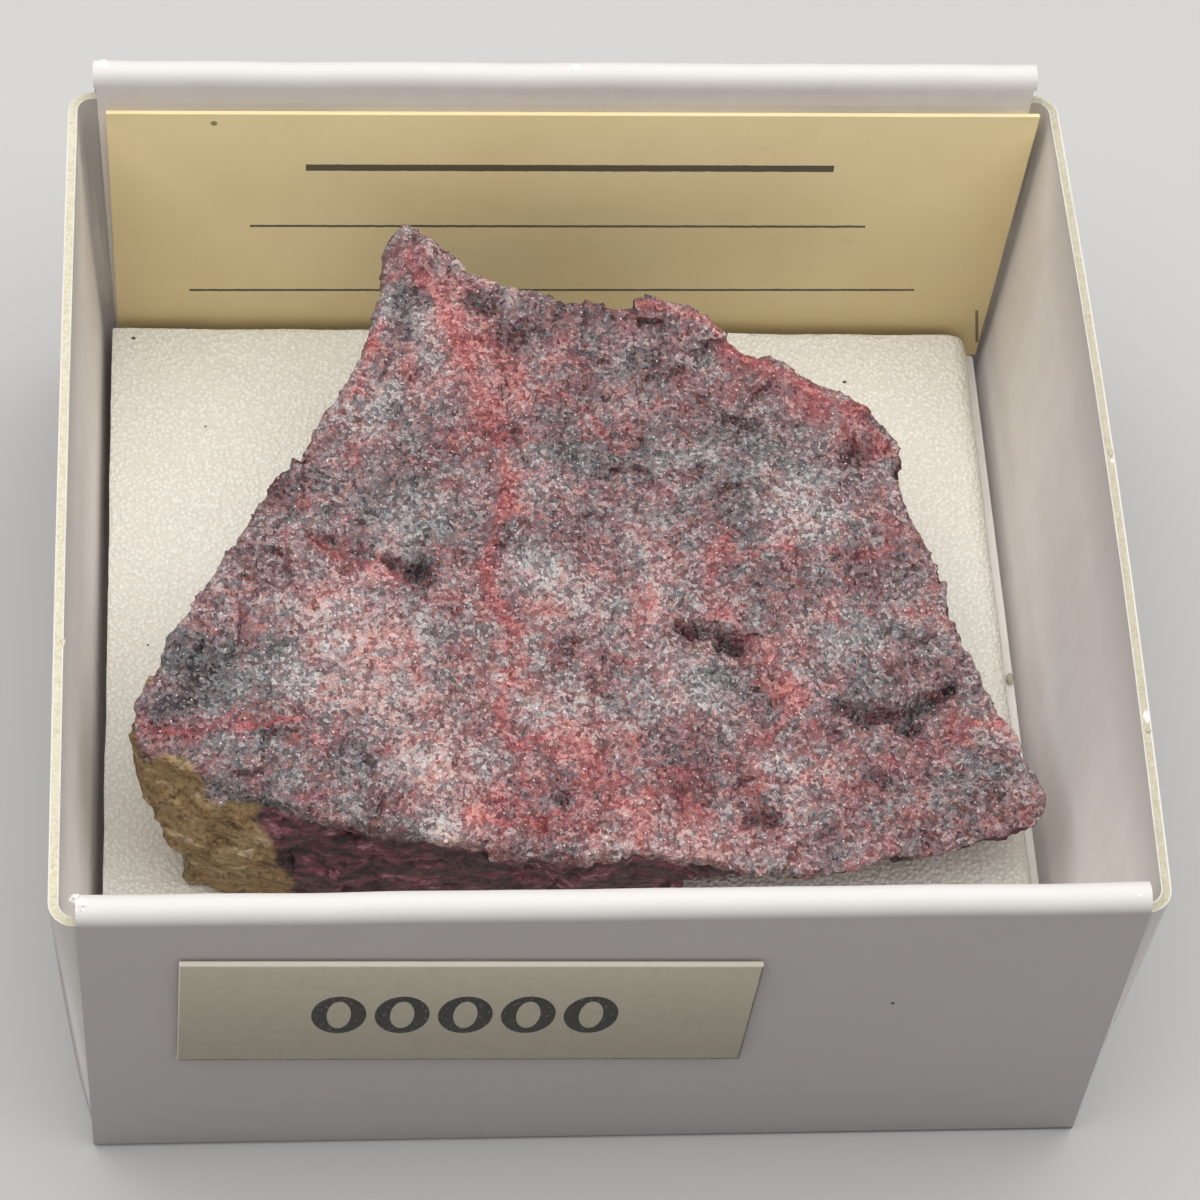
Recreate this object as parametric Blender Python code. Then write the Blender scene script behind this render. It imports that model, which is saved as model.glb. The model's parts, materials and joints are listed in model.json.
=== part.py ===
"""A cinnabar specimen in its card tray: the stone, the tray, a liner, a foam sheet and two paper labels.

The frame has +X to the right, +Y to the back, +Z up, and its origin is the middle of the tray's underside.
Sizes below are in millimetres. MM turns them into Blender's metres where meshes are made.
"""

import math

import bmesh
import bpy
import numpy as np
from mathutils import Matrix, Vector, noise

MM = 0.001

# The tray: a folded blank of thin card, as wide as it is deep to within a fold's thickness
TRAY_WIDTH = 40.0
TRAY_DEPTH = 39.8
CARD = 0.4
FLOOR = 0.45
FRONT_HEIGHT = 19.1
BACK_HEIGHT = 19.6
SIDE_HEIGHT = 17.7

# The folded walls: two panels with a slot between them for the corner flaps
SLOT = 0.5
FOLDED = 2 * CARD + SLOT
FOOT_RADIUS = 0.4
FOOT_BEVEL = 0.32
FOLD_STEPS = 10
FOOT_STEPS = 4
BACK_LEAN = 1.28
PANEL_INSET = 0.65

# Cutters run this far past the faces and the ends that they cut through
PAST_FACE = 0.5
PAST_END = 2.0

# The side walls: they bow outwards as they rise and turn the corners into flaps
SIDE_BOW = 1.08
BOW_POWER = 0.55
BELLY_LEFT = 0.06
BELLY_RIGHT = 0.28
CORNER_RADIUS = 0.8
FLAP = 8.0
SIDE_FOOT = 0.2
# Heights of the rows that carry the bow, closer together low down where it turns most
WALL_LEVELS = (SIDE_FOOT, 0.8, 1.8, 3.5, 6.0, 9.5, 13.5, SIDE_HEIGHT)
WALL_COLUMNS = 9
CORNER_STEPS = 6

# Points closer than this lie in the same plane
NEAR = 1e-4

# Loose pieces keep this clearance, and glued paper the thickness of its glue
CLEARANCE = 0.3
GLUE = 0.08

# The liner on the floor and the foam sheet on it
LINER_TOP = 2.2
LINER_HALF_WIDTH = 19.5
FOAM_TOP = 4.4
FOAM_SLOPE = -0.015
FOAM_LEFT = -19.65
FOAM_RIGHT = 18.9
FOAM_SHOULDER = 0.9

# The name card: it stands on the liner and leans on the back wall
NAME_CARD = 0.2
NAME_BOTTOM = LINER_TOP + CLEARANCE
NAME_TOP = 17.85
NAME_BOTTOM_LEFT = -19.4
NAME_BOTTOM_RIGHT = 19.6
NAME_TOP_LEFT = -19.5
NAME_TOP_RIGHT = 20.25

# The number label on the front wall
LABEL_WIDTH = 22.0
LABEL_HEIGHT = 7.7
LABEL_PAPER = 0.2
LABEL_X = -5.4
LABEL_Z = 11.7
LABEL_TURN = 1.7

# The stone's upper rim, clockwise from the peak at the back: x, y, z
STONE_RIM = (
    (-7.0, 16.2, 14.0), (-5.7, 15.8, 13.7), (-3.6, 14.7, 13.3), (-1.3, 14.2, 12.9), (2.1, 13.4, 12.4),
    (3.9, 13.9, 12.6), (6.2, 13.2, 12.0), (6.8, 12.2, 11.6), (9.3, 11.6, 11.2), (10.5, 10.3, 10.9),
    (12.7, 9.4, 10.5), (13.9, 7.8, 10.3), (14.1, 6.1, 10.1), (14.9, 4.1, 9.9), (15.6, 1.9, 9.6),
    (15.9, -0.9, 9.3), (16.9, -2.5, 9.0), (17.8, -4.6, 8.8), (18.6, -6.8, 8.5), (19.2, -8.7, 8.2),
    (19.0, -10.2, 8.1), (16.3, -11.3, 8.5), (14.3, -12.3, 8.7), (9.4, -13.4, 9.3), (6.8, -13.3, 9.6),
    (4.3, -13.1, 10.0), (1.8, -12.6, 10.4), (-1.3, -13.1, 10.8), (-6.5, -12.6, 11.6), (-8.9, -11.9, 12.1),
    (-10.5, -12.1, 12.3), (-13.0, -11.2, 12.7), (-15.6, -10.4, 13.2), (-18.3, -9.4, 13.6), (-18.1, -7.2, 13.7),
    (-17.3, -4.5, 13.8), (-14.3, 0.7, 13.8), (-10.8, 6.3, 13.7), (-10.1, 8.3, 13.8), (-9.0, 10.6, 13.8),
    (-8.6, 12.4, 13.9), (-7.9, 14.6, 14.0),
)
# The stone's foot, clockwise from behind the peak: x, y where it lies on the foam
STONE_FOOT = (
    (-5.6, 13.6), (-1.0, 12.4), (4.4, 11.0), (7.6, 9.4), (11.2, 6.4), (12.4, 1.4), (13.2, -2.6),
    (12.6, -5.4), (8.4, -7.6), (4.2, -9.4), (1.2, -11.2), (-5.0, -11.9), (-10.2, -12.0),
    (-17.0, -10.6), (-16.4, -6.6), (-14.4, -3.2), (-11.6, 1.8), (-9.0, 4.6), (-7.6, 9.4), (-6.9, 12.2),
)
# The waist between them lies this far out from the straight line, as a share of the radius
WAIST_BULGE = 0.045
# Rings that carry the core: shares of the way out on the top, down the side, and back in under the foot
CORE_ANGLES = 144
TOP_RINGS = (0.25, 0.5, 0.75, 0.9, 1.0)
SIDE_RINGS = (0.2, 0.4, 0.6, 0.8, 1.0)
FOOT_RINGS = (0.66, 0.33)
# The even mesh that takes the relief, and the share of its faces that stays
STONE_VOXEL = 0.5
STONE_KEEP = 0.3
STONE_SOFTEN = 0.4

# Ledges on the stone's upper face: two ends in x and y, how far it drops, how soon it rises again
LEDGES = (
    ((10.6, -5.3), (15.4, -4.8), 0.55, 1.3),
    ((14.2, -3.6), (17.2, -4.4), 0.35, 0.8),
    ((-8.9, 0.5), (-6.2, -0.5), 0.4, 1.0),
    ((5.1, 11.2), (7.0, 10.9), 0.45, 0.8),
    ((6.2, -10.6), (7.7, -11.4), 0.3, 0.5),
)
# How far the surface takes to fall over a ledge, how far and how often the ledge's line wanders
LEDGE_BROW = 0.35
LEDGE_WANDER = 0.6
LEDGE_WAVE = 1.2
# Share of a line's length over which its relief dies away past each end
LINE_FADE = 0.18
# Pits on the upper face: centre in x and y, half length, half width, depth
PITS = (
    (4.4, -2.7, 0.65, 0.35, 0.65),
    (6.0, -3.0, 0.75, 0.4, 0.7),
)
# Ridges on the upper face: two ends in x and y, height, half width
RIDGES = (
    ((-6.8, 15.8), (-4.3, 10.8), 0.4, 1.2),
    ((2.4, 13.4), (6.6, 12.6), 0.5, 0.8),
    ((8.6, 11.0), (13.2, 7.6), 0.3, 1.0),
)

# Random relief, in layers of lump size, height and seed
UPPER_LUMPS = ((7.0, 0.3, 1.3), (3.0, 0.16, 4.1))
FINE_LUMPS = ((1.5, 0.16, 7.7), (0.8, 0.08, 9.2))
# Flat fracture facets of the sides, in layers of facet size, height and seed, and how far they are set in
SIDE_FACETS = ((5.5, 0.9, 2.0), (2.0, 0.3, 6.0))
SIDE_INSET = 0.25
# Each facet takes its tilt from a cell this far from its neighbour's, so that they differ
FAR_APART = 7.3
# The rock's faint layers: height, length along the layer, thickness, seed
STRATA = (0.2, 4.0, 0.9, 5.5)
# A face counts as upper or as under from these slopes of its normal on, and fully so a little beyond
UPPER_FROM, UPPER_BLEND = 0.35, 0.4
UNDER_FROM, UNDER_BLEND = 0.6, 0.3


def new_material(name, colour, roughness):
    """A plain surface in the piece's own colour."""
    material = bpy.data.materials.new(name)
    material.use_nodes = True
    shader = material.node_tree.nodes["Principled BSDF"]
    shader.inputs["Base Color"].default_value = (*colour, 1.0)
    shader.inputs["Roughness"].default_value = roughness
    shader.inputs["Metallic"].default_value = 0.0
    return material


def new_object(name, bm, material=None):
    """A linked object from a bmesh in millimetres."""
    bmesh.ops.scale(bm, vec=(MM, MM, MM), verts=bm.verts)
    bmesh.ops.recalc_face_normals(bm, faces=bm.faces)
    mesh = bpy.data.meshes.new(name)
    bm.to_mesh(mesh)
    bm.free()
    thing = bpy.data.objects.new(name, mesh)
    bpy.context.scene.collection.objects.link(thing)
    if material:
        mesh.materials.append(material)
    return thing


def smooth(thing, angle=40):
    """Round faces shaded smooth, with the edges sharper than the angle kept crisp."""
    thing.data.shade_smooth()
    thing.data.set_sharp_from_angle(angle=math.radians(angle))


def hide_tool(thing):
    """A cutter, or a shape to be joined on, is not a piece of its own."""
    thing.hide_render = True
    thing.display_type = "WIRE"


def combine(thing, other, operation):
    """A Boolean with another shape, which becomes a hidden tool."""
    modifier = thing.modifiers.new(other.name, "BOOLEAN")
    modifier.operation = operation
    modifier.object = other
    hide_tool(other)


def arc(centre, radius, start, end, steps):
    """Points of an arc in a plane, with its angles in degrees."""
    angles = np.radians(np.linspace(start, end, steps + 1))
    return [(centre[0] + radius * math.cos(a), centre[1] + radius * math.sin(a)) for a in angles]


def extruded(corners, step):
    """A solid: the flat face with these corners, drawn out along a step."""
    bm = bmesh.new()
    face = bm.faces.new([bm.verts.new(corner) for corner in corners])
    ends = bmesh.ops.extrude_face_region(bm, geom=[face])["geom"]
    moved = [v for v in ends if isinstance(v, bmesh.types.BMVert)]
    bmesh.ops.translate(bm, vec=step, verts=moved)
    return bm


def extruded_section(points, x_low, x_high):
    """A solid whose y and z section runs along X."""
    return extruded([(x_low, y, z) for y, z in points], (x_high - x_low, 0, 0))


def box(low, high):
    """A block between two corners."""
    bm = bmesh.new()
    size = Vector(high) - Vector(low)
    middle = (Vector(high) + Vector(low)) / 2
    bmesh.ops.create_cube(bm, size=1.0, matrix=Matrix.Translation(middle) @ Matrix.Diagonal((*size, 1.0)))
    return bm


def lean(z):
    """How far the back wall has leaned out at a height."""
    return BACK_LEAN * z / BACK_HEIGHT


def foam_height(x):
    """The foam's upper face, which rises a little to the left."""
    return FOAM_TOP + FOAM_SLOPE * x


def tray_section():
    """The long strip of the blank: front wall folded over, floor, back wall folded over."""
    half = TRAY_DEPTH / 2
    turn = FOLDED / 2
    points = arc((-half + FOOT_RADIUS, FOOT_RADIUS), FOOT_RADIUS, 270, 180, FOOT_STEPS)
    points += arc((-half + turn, FRONT_HEIGHT - turn), turn, 180, 0, FOLD_STEPS)
    points += [(-half + FOLDED, FLOOR), (half - FOLDED, FLOOR)]
    back_top = BACK_HEIGHT - turn
    points += arc((half - turn + lean(back_top), back_top), turn, 180, 0, FOLD_STEPS)
    points += arc((half - FOOT_RADIUS, FOOT_RADIUS), FOOT_RADIUS, 0, -90, FOOT_STEPS)
    return points


def wall_gap(name, depth_from, depth_to, top, x_low, x_high, leaning):
    """A cutter inside a folded wall, from the floor up; depths are measured in from its outer face."""
    half = TRAY_DEPTH / 2
    outer = half if leaning else -half
    inward = -1 if leaning else 1
    low, high = sorted((outer + inward * depth_from, outer + inward * depth_to))
    shift_low, shift_high = (lean(FLOOR), lean(top)) if leaning else (0.0, 0.0)
    points = [
        (low + shift_low, FLOOR),
        (high + shift_low, FLOOR),
        (high + shift_high, top),
        (low + shift_high, top),
    ]
    return new_object(name, extruded_section(points, x_low, x_high))


def side_wall(name, side, belly):
    """A side wall and its two flaps: one strip of card that turns both corners."""
    flap_y = TRAY_DEPTH / 2 - CARD - SLOT / 2
    wall_x = TRAY_WIDTH / 2 - CARD / 2
    centre_x = wall_x - CORNER_RADIUS
    centre_y = flap_y - CORNER_RADIUS
    front = arc((centre_x, -centre_y), CORNER_RADIUS, 270, 360, CORNER_STEPS)
    back = arc((centre_x, centre_y), CORNER_RADIUS, 0, 90, CORNER_STEPS)
    between = [(wall_x, y) for y in np.linspace(-centre_y, centre_y, WALL_COLUMNS)[1:-1]]
    plan = [(wall_x - FLAP, -flap_y), *front, *between, *back, (wall_x - FLAP, flap_y)]
    bm = bmesh.new()
    previous = None
    for z in WALL_LEVELS:
        rise = (z / SIDE_HEIGHT) ** BOW_POWER
        row = []
        for x, y in plan:
            along = (y + flap_y) / (2 * flap_y)
            out = rise * (SIDE_BOW + belly * math.sin(math.pi * along))
            row.append(bm.verts.new((side * (x + out), y + lean(z) * along, z)))
        if previous:
            for i in range(len(row) - 1):
                bm.faces.new((previous[i], previous[i + 1], row[i + 1], row[i]))
        previous = row
    strip = new_object(name, bm)
    solidify = strip.modifiers.new("card", "SOLIDIFY")
    solidify.thickness = CARD * MM
    solidify.offset = 0.0
    solidify.use_even_offset = True
    return strip


def make_tray():
    """The open tray, with its walls folded from one blank."""
    half_width = TRAY_WIDTH / 2
    bm = extruded_section(tray_section(), -half_width, half_width)
    under_ends = [v for v in bm.verts if v.co.z < NEAR and abs(v.co.x) > half_width - NEAR]
    under_edges = [e for e in bm.edges if all(v in under_ends for v in e.verts)]
    bmesh.ops.bevel(bm, geom=under_edges, offset=FOOT_BEVEL, segments=3, affect="EDGES", profile=0.5)
    tray = new_object("card_tray", bm, new_material("white_card", (0.80, 0.78, 0.76), 0.75))
    past = half_width + PAST_END
    inner_end = half_width - PANEL_INSET
    for label, leaning, height in (("front", False, FRONT_HEIGHT), ("back", True, BACK_HEIGHT)):
        slot_top = height - CARD
        fold_line = height - FOLDED / 2
        slot = wall_gap(f"{label}_slot", CARD, CARD + SLOT, slot_top, -past, past, leaning)
        combine(tray, slot, "DIFFERENCE")
        for side_label, x_low, x_high in (("left", -past, -inner_end), ("right", inner_end, past)):
            name = f"{label}_{side_label}_end"
            gap = wall_gap(name, CARD + SLOT / 2, FOLDED + PAST_FACE, fold_line, x_low, x_high, leaning)
            combine(tray, gap, "DIFFERENCE")
    combine(tray, side_wall("left_wall", -1, BELLY_LEFT), "UNION")
    combine(tray, side_wall("right_wall", 1, BELLY_RIGHT), "UNION")
    smooth(tray)
    return tray


def make_liner():
    """The smooth white sheet that covers the floor."""
    back = TRAY_DEPTH / 2 - FOLDED - CLEARANCE
    bm = box((-LINER_HALF_WIDTH, -back, FLOOR + CLEARANCE), (LINER_HALF_WIDTH, back, LINER_TOP))
    return new_object("base_liner", bm, new_material("liner_white", (0.86, 0.86, 0.84), 0.6))


def make_foam():
    """The foam sheet, with a soft shoulder along its right edge."""
    front = -(TRAY_DEPTH / 2 - FOLDED - CLEARANCE)
    back = name_card_face(FOAM_TOP) - CLEARANCE
    under = LINER_TOP + CLEARANCE
    centre = (FOAM_RIGHT - FOAM_SHOULDER, foam_height(FOAM_RIGHT) - FOAM_SHOULDER)
    shoulder = arc(centre, FOAM_SHOULDER, 90, 0, 6)
    points = [(FOAM_LEFT, under), (FOAM_LEFT, foam_height(FOAM_LEFT)), *shoulder, (FOAM_RIGHT, under)]
    bm = extruded([(x, front, z) for x, z in points], (0, back - front, 0))
    foam = new_object("foam_pad", bm, new_material("foam_white", (0.83, 0.81, 0.74), 0.55))
    smooth(foam)
    return foam


def name_card_face(z):
    """Where the front of the name card is at a height."""
    return TRAY_DEPTH / 2 - FOLDED + lean(z) - CLEARANCE - NAME_CARD


def make_name_card():
    """The name card, a sheet cut a little out of square."""
    corners = (
        (NAME_BOTTOM_LEFT, NAME_BOTTOM),
        (NAME_BOTTOM_RIGHT, NAME_BOTTOM),
        (NAME_TOP_RIGHT, NAME_TOP),
        (NAME_TOP_LEFT, NAME_TOP),
    )
    bm = extruded([(x, name_card_face(z), z) for x, z in corners], (0, NAME_CARD, 0))
    return new_object("name_card", bm, new_material("cream_card", (0.80, 0.73, 0.52), 0.7))


def make_number_label():
    """The paper label glued to the front wall, turned a little clockwise."""
    bm = box((-LABEL_WIDTH / 2, -LABEL_PAPER, -LABEL_HEIGHT / 2), (LABEL_WIDTH / 2, 0, LABEL_HEIGHT / 2))
    turn = Matrix.Rotation(math.radians(LABEL_TURN), 4, "Y")
    place = Matrix.Translation((LABEL_X, -TRAY_DEPTH / 2 - GLUE, LABEL_Z))
    bmesh.ops.transform(bm, matrix=place @ turn, verts=bm.verts)
    return new_object("number_label", bm, new_material("cream_paper", (0.78, 0.73, 0.60), 0.75))


def ring_radius(ring, angle):
    """The distance from the middle to a closed outline in a direction, and the height there."""
    direction = np.array((math.cos(angle), math.sin(angle)))
    across = np.array((-direction[1], direction[0]))
    points = np.array(ring, float)
    following = np.roll(points, -1, axis=0)
    best = (0.0, 0.0)
    for a, b in zip(points, following):
        side_a, side_b = a[:2] @ across, b[:2] @ across
        if side_a * side_b > 0 or side_a == side_b:
            continue
        share = side_a / (side_a - side_b)
        crossing = a + share * (b - a)
        reach = crossing[:2] @ direction
        if reach > best[0]:
            best = (reach, crossing[2] if len(crossing) > 2 else 0.0)
    return best


def plane_of_rim():
    """The plane that fits the rim best, as z at the middle and its slopes in x and y."""
    rim = np.array(STONE_RIM)
    return np.linalg.lstsq(np.c_[np.ones(len(rim)), rim[:, :2]], rim[:, 2], rcond=None)[0]


def stone_core():
    """The stone without its relief: an upper face in the rim, broken sides and a flat foot."""
    height, slope_x, slope_y = plane_of_rim()
    angles = np.linspace(0, 2 * math.pi, CORE_ANGLES, endpoint=False)
    rows = []
    for share in TOP_RINGS:
        row = []
        for a in angles:
            reach, rim_z = ring_radius(STONE_RIM, a)
            x, y = reach * math.cos(a), reach * math.sin(a)
            climb = slope_x * x + slope_y * y
            off_plane = rim_z - height - climb
            row.append((share * x, share * y, height + share * climb + share ** 3 * off_plane))
        rows.append(row)
    for drop in SIDE_RINGS:
        row = []
        for a in angles:
            top_reach, top_z = ring_radius(STONE_RIM, a)
            foot_reach = ring_radius(STONE_FOOT, a)[0]
            reach = top_reach + (foot_reach - top_reach) * drop
            reach *= 1 + WAIST_BULGE * math.sin(math.pi * drop)
            x, y = reach * math.cos(a), reach * math.sin(a)
            foot_z = foam_height(x) + CLEARANCE
            row.append((x, y, top_z + (foot_z - top_z) * drop))
        rows.append(row)
    foot = rows[-1]
    for share in FOOT_RINGS:
        rows.append([(x * share, y * share, foam_height(x * share) + CLEARANCE) for x, y, _ in foot])
    bm = bmesh.new()
    loops = [[bm.verts.new(p) for p in row] for row in rows]
    for upper, lower in zip(loops, loops[1:]):
        for i in range(CORE_ANGLES):
            bm.faces.new((upper[i - 1], upper[i], lower[i], lower[i - 1]))
    for loop, z in ((loops[0], height), (loops[-1], foam_height(0) + CLEARANCE)):
        middle = bm.verts.new((0, 0, z))
        for i in range(CORE_ANGLES):
            bm.faces.new((middle, loop[i - 1], loop[i]))
    return new_object("stone_core", bm)


def along_line(point, start, end):
    """Share of the way along a line, and the distance to its left, of a point in plan."""
    run = np.array(end) - np.array(start)
    length = np.hypot(*run)
    offset = np.array(point[:2]) - np.array(start)
    along = (offset @ run) / length ** 2
    aside = (run[0] * offset[1] - run[1] * offset[0]) / length
    return along, aside


def fade(share):
    """One along the middle of a line, falling to nothing past its ends."""
    beyond = max(0.0, -share, share - 1.0)
    return math.exp(-((beyond / LINE_FADE) ** 2))


def upper_relief(point):
    """Ledges, pits and ridges of the upper face, in millimetres."""
    relief = 0.0
    for start, end, drop, recovery in LEDGES:
        along, aside = along_line(point, start, end)
        wander = LEDGE_WANDER * rough((point[0], point[1], 0.0), LEDGE_WAVE, drop)
        below = -(aside + wander)
        if below > 0:
            brow = min(below / LEDGE_BROW, 1.0)
            relief -= drop * brow * fade(along) * math.exp(-below / recovery)
    for x, y, half_length, half_width, depth in PITS:
        near = ((point[0] - x) / half_length) ** 2 + ((point[1] - y) / half_width) ** 2
        relief -= depth * math.exp(-near)
    for start, end, height, half_width in RIDGES:
        along, aside = along_line(point, start, end)
        relief += height * fade(along) * math.exp(-((aside / half_width) ** 2))
    return relief


def rough(point, size, seed):
    """Smooth random relief between -1 and 1 whose lumps are about a size across."""
    return noise.noise(Vector(point) / size + Vector((seed, 2 * seed, 3 * seed)))


def fractured(point, size, seed):
    """Broken facets between -1 and 1: cells about a size across, each a plane with its own tilt."""
    place = Vector(point) / size + Vector((seed, seed, seed))
    centre = noise.voronoi(place)[1][0]
    tilt = 2 * noise.cell_vector(FAR_APART * centre) - Vector((1, 1, 1))
    return 0.7 * tilt.dot(place - centre) + 0.3 * tilt.x


def layers_of(kind, point, layers):
    """The sum of layers of one kind of relief, each with its own size, height and seed."""
    return sum(height * kind(point, size, seed) for size, height, seed in layers)


def ramp(value, start, length):
    """Nothing up to the start, rising to one over the length."""
    return min(max((value - start) / length, 0.0), 1.0)


def stone_relief(point, normal):
    """How far the surface stands out at a point, in millimetres."""
    up = ramp(normal[2], UPPER_FROM, UPPER_BLEND)
    down = ramp(-normal[2], UNDER_FROM, UNDER_BLEND)
    side = (1.0 - up) * (1.0 - down)
    height, length, thickness, seed = STRATA
    strata = height * rough((point[0] / length, point[1] / length, point[2] / thickness), 1.0, seed)
    facets = layers_of(fractured, point, SIDE_FACETS) - SIDE_INSET
    lumps = layers_of(rough, point, FINE_LUMPS) * (1.0 - down / 2)
    upper = layers_of(rough, point, UPPER_LUMPS) + upper_relief(point)
    return float(up * upper + side * (strata + facets) + lumps)


def make_stone():
    """The broken stone: an even mesh of its core, pushed out and in by the relief."""
    core = stone_core()
    remesh = core.modifiers.new("even", "REMESH")
    remesh.mode = "VOXEL"
    remesh.voxel_size = STONE_VOXEL * MM
    graph = bpy.context.evaluated_depsgraph_get()
    mesh = bpy.data.meshes.new_from_object(core.evaluated_get(graph))
    bpy.data.objects.remove(core)
    bm = bmesh.new()
    bm.from_mesh(mesh)
    bpy.data.meshes.remove(mesh)
    bmesh.ops.scale(bm, vec=(1 / MM, 1 / MM, 1 / MM), verts=bm.verts)
    bm.normal_update()
    moves = [(v, stone_relief(v.co, v.normal)) for v in bm.verts]
    for v, relief in moves:
        v.co += relief * v.normal
    every_way = {"use_axis_x": True, "use_axis_y": True, "use_axis_z": True}
    bmesh.ops.smooth_vert(bm, verts=bm.verts, factor=STONE_SOFTEN, **every_way)
    for v in bm.verts:
        v.co.z = max(v.co.z, foam_height(v.co.x) + CLEARANCE)
    stone = new_object("stone", bm, new_material("cinnabar_quartzite", (0.33, 0.17, 0.16), 0.7))
    decimate = stone.modifiers.new("facets", "DECIMATE")
    decimate.ratio = STONE_KEEP
    decimate.use_collapse_triangulate = True
    return stone


def main():
    for thing in list(bpy.data.objects):
        bpy.data.objects.remove(thing)
    make_tray()
    make_liner()
    make_foam()
    make_name_card()
    make_number_label()
    make_stone()


main()
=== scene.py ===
import json
import math

import bmesh
import bpy
import numpy as np
from bpy.props import FloatProperty, FloatVectorProperty, PointerProperty
from mathutils import Matrix, Vector, noise
from mathutils.kdtree import KDTree

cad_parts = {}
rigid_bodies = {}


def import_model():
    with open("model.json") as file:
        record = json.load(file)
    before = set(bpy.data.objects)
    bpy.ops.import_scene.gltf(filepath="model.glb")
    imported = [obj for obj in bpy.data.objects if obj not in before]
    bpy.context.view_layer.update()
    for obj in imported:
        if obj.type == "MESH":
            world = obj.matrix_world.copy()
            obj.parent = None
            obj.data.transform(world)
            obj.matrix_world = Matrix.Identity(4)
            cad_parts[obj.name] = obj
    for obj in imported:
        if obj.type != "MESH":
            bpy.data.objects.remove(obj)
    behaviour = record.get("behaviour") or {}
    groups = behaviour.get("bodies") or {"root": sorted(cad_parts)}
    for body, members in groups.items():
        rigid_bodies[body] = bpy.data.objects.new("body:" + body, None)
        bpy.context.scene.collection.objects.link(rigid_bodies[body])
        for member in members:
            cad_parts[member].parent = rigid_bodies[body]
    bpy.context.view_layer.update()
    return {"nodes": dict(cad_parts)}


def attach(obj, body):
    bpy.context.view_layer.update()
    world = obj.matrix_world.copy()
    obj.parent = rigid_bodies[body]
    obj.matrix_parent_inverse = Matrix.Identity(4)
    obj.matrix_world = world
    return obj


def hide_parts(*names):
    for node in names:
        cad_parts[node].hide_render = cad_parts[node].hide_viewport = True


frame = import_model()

bl_info = {
    "name": "Cinnabar Specimen in a Card Tray",
    "version": (1, 0, 0),
    "blender": (4, 5, 0),
    "location": "View3D > Sidebar > Specimen",
    "description": "Builds the stone, its tray, the foam it lies on and its two paper labels",
    "category": "Mesh",
}

MM = 0.001
BODY = "root"


def tone(red, green, blue):
    """A colour read off a chart, 0 to 255 a channel, as the share of light that it gives back."""
    def light(value):
        level = value / 255
        return level / 12.92 if level <= 0.04045 else ((level + 0.055) / 1.055) ** 2.4
    return light(red), light(green), light(blue)


# The sizes and colours to change

def length(name, description, millimetres):
    """A length that shows in the sidebar."""
    return FloatProperty(
        name=name, description=description, default=millimetres * MM, unit="LENGTH", precision=5,
    )


def colour(name, description, *channels):
    """A colour that shows in the sidebar."""
    return FloatVectorProperty(
        name=name, description=description, default=tone(*channels), subtype="COLOR", min=0.0, max=1.0,
    )


def power(name, description, watts):
    """The power of a light that shows in the sidebar."""
    return FloatProperty(name=name, description=description, default=watts, min=0.0, unit="POWER")


class StoneSettings(bpy.types.PropertyGroup):
    mesh_size: length("Mesh size", "Edge length of the stone's mesh", 0.175)
    lumps: length("Lumps", "Height of the lumps about a millimetre and a half across", 0.15)
    grains: length("Grains", "Height of the single quartz grains", 0.05)
    shadow_grey: colour("Shadow grey", "The darkest grains of the rock", 32, 32, 36)
    matrix_grey: colour("Matrix grey", "The usual grains of the rock", 113, 110, 112)
    quartz: colour("Quartz", "The palest grains of the rock", 197, 194, 190)
    cinnabar_dark: colour("Dark cinnabar", "The deep red of the ore", 66, 20, 28)
    cinnabar: colour("Cinnabar", "The usual red of the ore", 144, 66, 72)
    cinnabar_bright: colour("Bright cinnabar", "The orange-pink of thin ore", 212, 140, 130)
    ochre: colour("Ochre", "The weathered brown crust on the left side", 138, 112, 76)
    maroon: colour("Maroon", "The dark broken sides", 72, 52, 55)


class TraySettings(bpy.types.PropertyGroup):
    card: colour("Card", "The white lining of the card", 243, 238, 235)
    # The outer faces' colour is painted shade: a greyer copy of the lining for the dimmer light there
    outside: colour("Outside", "The same lining on the outer faces, greyer", 186, 180, 178)
    core: colour("Core", "The raw cream middle of the card, on its cut edges", 208, 201, 176)
    lining: length("Lining", "Thickness of the white lining on a cut edge", 0.055)


class FoamSettings(bpy.types.PropertyGroup):
    mesh_size: length("Mesh size", "Edge length of the foam's mesh", 0.185)
    cell: length("Cell", "Width of one cell of the foam", 0.2)
    cell_height: length("Cell height", "How far a cell stands up", 0.03)
    foam: colour("Foam", "The skin of the cells", 248, 246, 240)
    # Painted shade: the hollows between the cells are painted darker than the skin
    gap: colour("Gap", "The hollows between the cells", 218, 214, 200)


class PaperSettings(bpy.types.PropertyGroup):
    name_card: colour("Name card", "The cream card", 243, 224, 174)
    # Painted shade: the label's paper is darker than it is, for the dimmer light on the front wall
    number_label: colour("Number label", "The paper of the small label", 183, 176, 158)
    ink: colour("Ink", "Print on both", 45, 42, 42)
    liner: colour("Liner", "The sheet on the floor of the tray", 243, 240, 235)


class StageSettings(bpy.types.PropertyGroup):
    floor: colour("Floor", "The table under the tray", 188, 187, 185)
    key_power: power("Key light", "Power of the light overhead", 3.8)
    fill_power: power("Front light", "Power of the soft light in front", 0.15)
    room: FloatProperty(
        name="Room light", description="Strength of the light from all round",
        default=0.06, min=0.0, max=5.0,
    )


# The finishes

# Sockets of a Mix node when it mixes colours
MIX_AMOUNT, MIX_FIRST, MIX_SECOND = 0, 6, 7
MIX_COLOUR = 2
# The middle of a colour, taken off so that it pushes both ways
MID_GREY = (0.5, 0.5, 0.5)


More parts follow.
